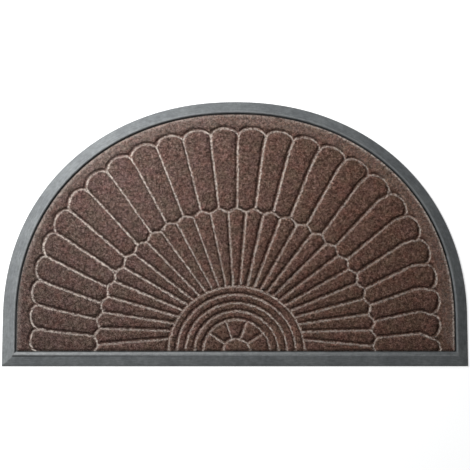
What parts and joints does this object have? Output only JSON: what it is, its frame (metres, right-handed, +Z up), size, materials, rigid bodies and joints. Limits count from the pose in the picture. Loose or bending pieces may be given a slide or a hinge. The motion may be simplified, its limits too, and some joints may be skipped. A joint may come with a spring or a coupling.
{
  "type": "doormat",
  "caption": "Half-round doormat with a ramped rubber border and a brown carpet field pressed with a fan of petals.",
  "frame": {"origin": "on the floor, under the middle of the mat's bounding box", "axes": "+X to the right along the straight front edge, +Y from the straight front edge towards the arch, +Z up"},
  "size_m": [0.75, 0.45, 0.007],
  "materials": {
    "moulded_rubber": "satin grey moulded rubber",
    "needled_pile": "heathered brown needled carpet pile with pressed grooves"
  },
  "bodies": {
    "root": {"rubber_base": "moulded_rubber", "pile_field": "needled_pile"}
  },
  "joints": []
}
